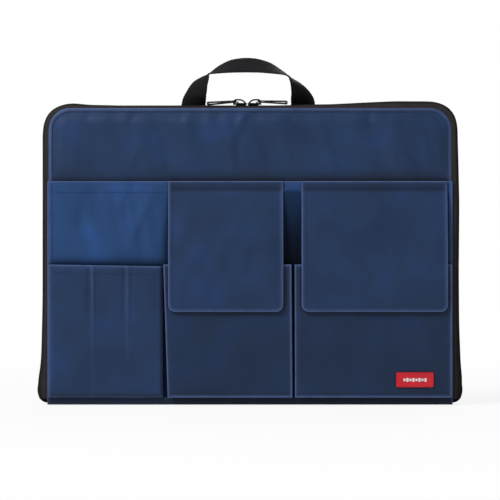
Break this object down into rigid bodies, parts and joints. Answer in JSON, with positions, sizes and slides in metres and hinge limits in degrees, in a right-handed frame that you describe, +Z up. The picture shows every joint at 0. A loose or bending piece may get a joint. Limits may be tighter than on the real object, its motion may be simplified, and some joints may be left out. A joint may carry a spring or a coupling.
{
  "type": "document organizer case",
  "caption": "Slim padded document case that zips open on three sides, with front pen slots, bellows pockets under lift-up flaps and a webbing handle.",
  "frame": {"origin": "bottom centre of the standing case, in the middle of its overall depth", "axes": "+X to the right seen from the pocket side, -Y towards the pocket side, +Z up to the handle"},
  "size_m": [0.35, 0.0266, 0.2852],
  "materials": {
    "navy_cloth": "woven nylon twill",
    "lining_cloth": "plain woven polyester",
    "foam": "closed-cell foam sheet",
    "board": "polyethylene board",
    "zip_tape": "knitted zipper tape",
    "zip_coil": "nylon coil",
    "slider_metal": "satin black paint",
    "webbing": "ribbed polypropylene webbing",
    "hook_loop": "hook and loop tape",
    "label_rubber": "moulded soft label"
  },
  "bodies": {
    "back_shell": {"rear_panel": "navy_cloth", "rear_stiffener": "board", "rear_foam": "foam", "rear_lining": "lining_cloth", "inner_pocket": "lining_cloth", "rear_zip_tape": "zip_tape", "rear_zip_coil": "zip_coil", "handle_anchors": "webbing"},
    "base": {"base_strip": "navy_cloth", "left_end_tab": "zip_tape", "right_end_tab": "zip_tape"},
    "front_shell": {"front_panel": "navy_cloth", "front_stiffener": "board", "front_foam": "foam", "front_lining": "lining_cloth", "front_zip_tape": "zip_tape", "front_zip_coil": "zip_coil", "slip_pocket": "navy_cloth", "pen_pocket": "navy_cloth", "centre_pocket_face": "navy_cloth", "centre_pocket_gusset": "navy_cloth", "right_pocket_face": "navy_cloth", "right_pocket_gusset": "navy_cloth", "bottom_binding": "navy_cloth", "centre_flap_band": "navy_cloth", "right_flap_band": "navy_cloth", "centre_pocket_loop": "hook_loop", "right_pocket_loop": "hook_loop", "label_patch": "label_rubber"},
    "flap_centre": {"centre_flap": "navy_cloth", "centre_flap_hook": "hook_loop"},
    "flap_right": {"right_flap": "navy_cloth", "right_flap_hook": "hook_loop"},
    "slider_left": {"left_slider_body": "slider_metal", "left_slider_bail": "slider_metal"},
    "slider_right": {"right_slider_body": "slider_metal", "right_slider_bail": "slider_metal"},
    "pull_left": {"left_pull": "slider_metal"},
    "pull_right": {"right_pull": "slider_metal"},
    "handle": {"handle_webbing": "webbing"}
  },
  "joints": [
    {"name": "base_fold", "type": "hinge", "parent": "back_shell", "child": "base", "pos_m": [0, 0.01175, 0], "axis": [1, 0, 0], "range_deg": [0, 90]},
    {"name": "front_fold", "type": "hinge", "parent": "base", "child": "front_shell", "pos_m": [0, -0.00295, 0], "axis": [1, 0, 0], "range_deg": [0, 90]},
    {"name": "centre_flap_lift", "type": "hinge", "parent": "front_shell", "child": "flap_centre", "pos_m": [-0.01985, -0.0068, 0.1765], "axis": [-1, 0, 0], "range_deg": [0, 155]},
    {"name": "right_flap_lift", "type": "hinge", "parent": "front_shell", "child": "flap_right", "pos_m": [0.10215, -0.0068, 0.1765], "axis": [-1, 0, 0], "range_deg": [0, 155]},
    {"name": "left_slider_run", "type": "slide", "parent": "back_shell", "child": "slider_left", "axis": [-1, 0, 0], "range_m": [0, 0.125]},
    {"name": "right_slider_run", "type": "slide", "parent": "back_shell", "child": "slider_right", "axis": [1, 0, 0], "range_m": [0, 0.125]},
    {"name": "left_pull_swing", "type": "hinge", "parent": "slider_left", "child": "pull_left", "pos_m": [-0.0115, 0.0044, 0.24946], "axis": [0, 1, 0], "range_deg": [0, 110]},
    {"name": "right_pull_swing", "type": "hinge", "parent": "slider_right", "child": "pull_right", "pos_m": [0.0069, 0.0044, 0.24946], "axis": [0, -1, 0], "range_deg": [0, 110]},
    {"name": "handle_swing", "type": "hinge", "parent": "back_shell", "child": "handle", "pos_m": [0, 0.01345, 0.2464], "axis": [1, 0, 0], "range_deg": [-160, 30]}
  ],
  "couplings": [
    {"joint": "front_fold", "follows": "base_fold", "ratio": 1}
  ]
}
